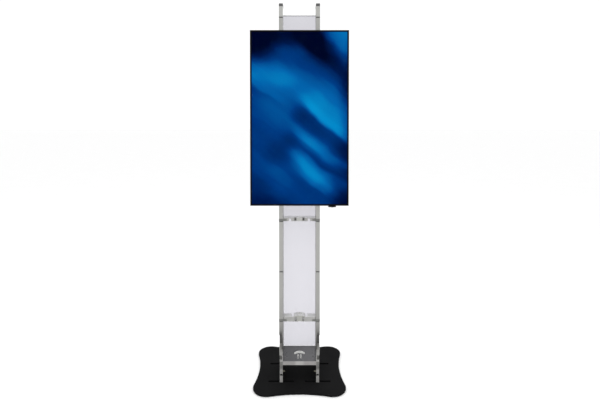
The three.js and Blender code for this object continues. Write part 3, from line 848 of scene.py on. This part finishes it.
POCKET_Y = -3.0     # back wall of the pockets in the cross plates' front edges


def plate_bolts():
    """Bright bolts in the pockets of the lowest cross plate."""
    z = PLATES[0][0].z + 13.2
    bm = bmesh.new()
    for x in (-22, 22):
        bolt(bm, (x, POCKET_Y, z), "-y", r=4.4, h=4.6, key=1.9, wide=5.6, hole=3.0, thick=1.0)
    piece("plate_bolts", bm, "bolt_steel", "stand")


def upper_plate_bolts():
    """Dark bolts on rubber pads in the pockets of the other cross plates."""
    pad, pad_t = rounded(7.3, 5.8, 1), 2.0
    bolts, pads = bmesh.new(), bmesh.new()
    for (lo, _), x in product(PLATES[1:], (-24, 24)):
        slab(pads, (x, POCKET_Y, lo.z + 10.2), "-y", pad, -0.2, pad_t)
        socket_screw(bolts, (x, POCKET_Y - pad_t, lo.z + 9.7), "-y", r=4.4, h=3.2, key=1.9)
    piece("upper_plate_bolts", bolts, "dark_steel", "stand")
    piece("pocket_pads", pads, "pad_grey", "stand")


def port_grommets():
    """Pale grommets lining the cable ports of the cross plates."""
    port_y, lip = 14, 0.3
    tops = (2.4, 0.9, 0.9, 0.9)     # how far each stays below the top of its plate
    ring = shifted(rounded(16.9, 10.9, 10.8, 6), 0, port_y)
    core = shifted(rounded(15.7, 9.7, 9.6, 6), 0, port_y)
    bm = bmesh.new()
    for (lo, hi), below_top in zip(PLATES, tops):
        sleeve(bm, (0, 0, 0), "z", ring, core, lo.z - lip, hi.z - below_top)
    piece("port_grommets", bm, "liner_white", "stand")


def top_screws():
    """Screws in the panel's top rail and in the end caps."""
    rail_lo, rail_hi = mm_box("panel_top_rail")
    bm = bmesh.new()
    for side, sign in SIDES:
        pan_screw(bm, (84 * sign, rail_lo.y, (rail_lo.z + rail_hi.z) / 2), "-y", r=1.3, h=0.7)
        cap_lo, cap_hi = mm_box("end_cap_" + side[0])
        middle = (cap_lo + cap_hi) / 2
        pan_screw(bm, (middle.x, middle.y, cap_hi.z - 0.9), "z", r=4.2, h=0.9)
    piece("top_screws", bm, "dark_steel", "stand")


for side, sign in SIDES:
    index_rings(side, sign)
    upright_screws(side, sign)
    plate_clips(side, sign)
slot_painted_shade_sheets()
deck_painted_light_bands()
deck_screws()
plate_bolts()
upper_plate_bolts()
port_grommets()
top_screws()

# ---------------------------------------------------------------- display
COVER_LO, COVER_HI = mm_box("rear_cover")
COVER_BACK = COVER_HI.y
TILT_AXIS = pivot_of("display_tilt")


def cover_screws():
    """Screws round the rear cover, and at the corners of the connector bay."""
    edge_x, inner_x = 266, 90
    bay_lo, bay_hi = mm_box("connector_bay")
    places = list(product((-edge_x, -inner_x, inner_x, edge_x), (COVER_LO.z + 12, COVER_HI.z - 12)))
    places += product((-edge_x, edge_x), (1260, 1510, 1760))
    bm = bmesh.new()
    for x, z in places:
        pan_screw(bm, (x, COVER_BACK, z), "y", r=3.4, h=1.5)
    for x, z in product((bay_lo.x - 5, bay_hi.x + 5), (bay_lo.z + 8, bay_hi.z - 8)):
        pan_screw(bm, (x, COVER_BACK, z), "y", r=2.6, h=1.2)
    piece("cover_screws", bm, "dark_steel", "display")


def vesa_screws():
    """Bolts that hold the display to its plate, on a 200 mm square."""
    half, plate_t = 100, 3.4
    seat_y = mm_box("vesa_plate")[0].y + plate_t
    bm = bmesh.new()
    for x, dz in product((-half, half), (-half, half)):
        bolt(bm, (x, seat_y, TILT_AXIS.z + dz), "y",
             r=5.2, h=5.5, key=2.6, wide=7.5, hole=3.4, thick=1.2)
    piece("vesa_screws", bm, "bolt_steel", "display")


def cover_ribs():
    """Two raised stiffening ribs round the back of the cover."""
    half_x, rib = 278, 3
    middle_z = (COVER_LO.z + COVER_HI.z) / 2
    half_z = (COVER_HI.z - COVER_LO.z) / 2
    bm = bmesh.new()
    for inset in (22, 30):
        outer = rounded(half_z - inset, half_x - inset, 12)
        inner = rounded(half_z - inset - rib, half_x - inset - rib, 10)
        sleeve(bm, (0, COVER_BACK, middle_z), "y", outer, inner, -0.4, 0.9)
    piece("cover_ribs", bm, "cover_plastic", "display", 0.35)


def dust_screens():
    """Dark screens just inside the two rows of vents."""
    bm = bmesh.new()
    for z in (1210, 1910):
        slab(bm, (0, COVER_BACK - 3.4, z), "y", rounded(34, 124, 2), -0.5, 0.3)
    piece("dust_screens", bm, "socket_dark", "display")


def rating_plate():
    """Blank foil plate."""
    bm = bmesh.new()
    slab(bm, (190, COVER_BACK, 1110), "y", rounded(24, 42, 3), 0.02, 0.35)
    piece("rating_plate", bm, "label_foil", "display", 0.1)


def socket_shells():
    """Metal shells of the three data sockets, opening downwards, and a rim round the mains inlet."""
    first_x, spacing, proud = -143.5, 11, 0.5
    bm = bmesh.new()
    for i in range(3):
        sleeve(bm, (first_x + i * spacing, -70, 1140.7), "-z",
               rounded(2.9, 4.9, 0.5), rounded(2.2, 4.2, 0.4), 0, proud)
    inlet_lo, inlet_hi = mm_box("mains_inlet")
    middle = (inlet_lo + inlet_hi) / 2
    sleeve(bm, (middle.x, middle.y, inlet_lo.z), "-z",
           rounded(13.6, 8.4, 1.5), rounded(11.9, 6.8, 1.2), 0, proud)
    piece("socket_shells", bm, "bolt_steel", "display")


def sensor_lenses():
    """Two little lenses in the front of the module under the screen."""
    lo, hi = mm_box("sensor_module")
    middle = (lo + hi) / 2
    bm = bmesh.new()
    for dx in (-13, 13):
        disc(bm, (middle.x + dx, lo.y, middle.z + 1), "-y",
             ((2.3, -0.4), (2.3, 0.15), (1.6, 0.4), (0.6, 0.5)))
    piece("sensor_lenses", bm, "lens_gloss", "display")


cover_screws()
vesa_screws()
cover_ribs()
dust_screens()
rating_plate()
socket_shells()
sensor_lenses()


# ---------------------------------------------------------------- carriage, knobs and switch
def carriage_screws():
    """Bolts of the carriage plate into its guides, and of the yoke into the plate."""
    lo, hi = mm_box("carriage_plate")
    yoke_t = 4
    bm = bmesh.new()
    for x, z in product((-80, 80), (lo.z + 26, lo.z + 70, hi.z - 70, hi.z - 26)):
        bolt(bm, (x, lo.y, z), "-y", r=4.0, h=3.6, key=2.0, wide=5.4, hole=2.6, thick=0.8)
    for x, dz in product((-36, 36), (-47, 47)):
        bolt(bm, (x, lo.y - yoke_t, TILT_AXIS.z + dz), "-y",
             r=4.6, h=4.4, key=2.2, wide=6.0, hole=3.0, thick=1.0)
    piece("carriage_screws", bm, "bolt_steel", "carriage")


def knob_discs(side, sign):
    """Metal discs on the inner face of a clamp knob and the outer face of a tilt knob."""
    inward, outward = ("-x", "x") if sign > 0 else ("x", "-x")
    clamp_lo, clamp_hi = mm_box("clamp_knob_" + side[0])
    middle = (clamp_lo + clamp_hi) / 2
    clamp_x, tilt_x = 42, 84    # where those faces are
    bm = bmesh.new()
    disc(bm, (clamp_x * sign, middle.y, middle.z), inward,
         ((6.2, -0.6), (6.2, 0.5), (5.2, 1.1), (2.0, 1.3)))
    piece("clamp_knob_disc_" + side[0], bm, "bolt_steel", "clamp_knob_" + side)
    bm = bmesh.new()
    disc(bm, (tilt_x * sign, TILT_AXIS.y, TILT_AXIS.z), outward,
         ((5.2, -0.6), (5.2, 0.5), (4.4, 1.0), (1.6, 1.2)))
    piece("tilt_knob_disc_" + side[0], bm, "bolt_steel", "tilt_knob_" + side)


def rocker_marks():
    """A short raised bar and a raised ring on the two halves of the tilted rocker."""
    pivot = pivot_of("power_rocker_flip")
    tilt = math.radians(8)
    along, sunk, proud = 5.4, -0.3, 0.12
    below = -6.6 + 1.6 * along / 8.6    # the face rises from the middle towards both ends

    def place(u):
        return (pivot.x + u * math.cos(tilt) - below * math.sin(tilt), pivot.y,
                pivot.z + u * math.sin(tilt) + below * math.cos(tilt))

    bm = bmesh.new()
    slab(bm, place(-along), "-z", rounded(0.4, 1.7, 0.2), sunk, proud)
    sleeve(bm, place(along), "-z", circle(1.5, 16), circle(1.0, 16), sunk, proud)
    piece("rocker_marks", bm, "liner_white", "power_rocker")


carriage_screws()
for side, sign in SIDES:
    knob_discs(side, sign)
rocker_marks()


# ---------------------------------------------------------------- floor
def lay_floor():
    """Plain pale floor, even apart from a faint cloud."""
    half = 40
    mesh = bpy.data.meshes.new("floor")
    corners = [(-half, -half, 0), (half, -half, 0), (half, half, 0), (-half, half, 0)]
    mesh.from_pydata(corners, [], [(0, 1, 2, 3)])
    m = Mat("floor_white")
    color = m.ramp(m.noise(m.coords(), scale=3, detail=2), [(0.3, grey(0.93)), (0.7, grey(0.94))])
    m.done(m.surface(color, 0.9, gloss=0.1))
    mesh.materials.append(LOOKS["floor_white"])
    add("floor", mesh)


lay_floor()
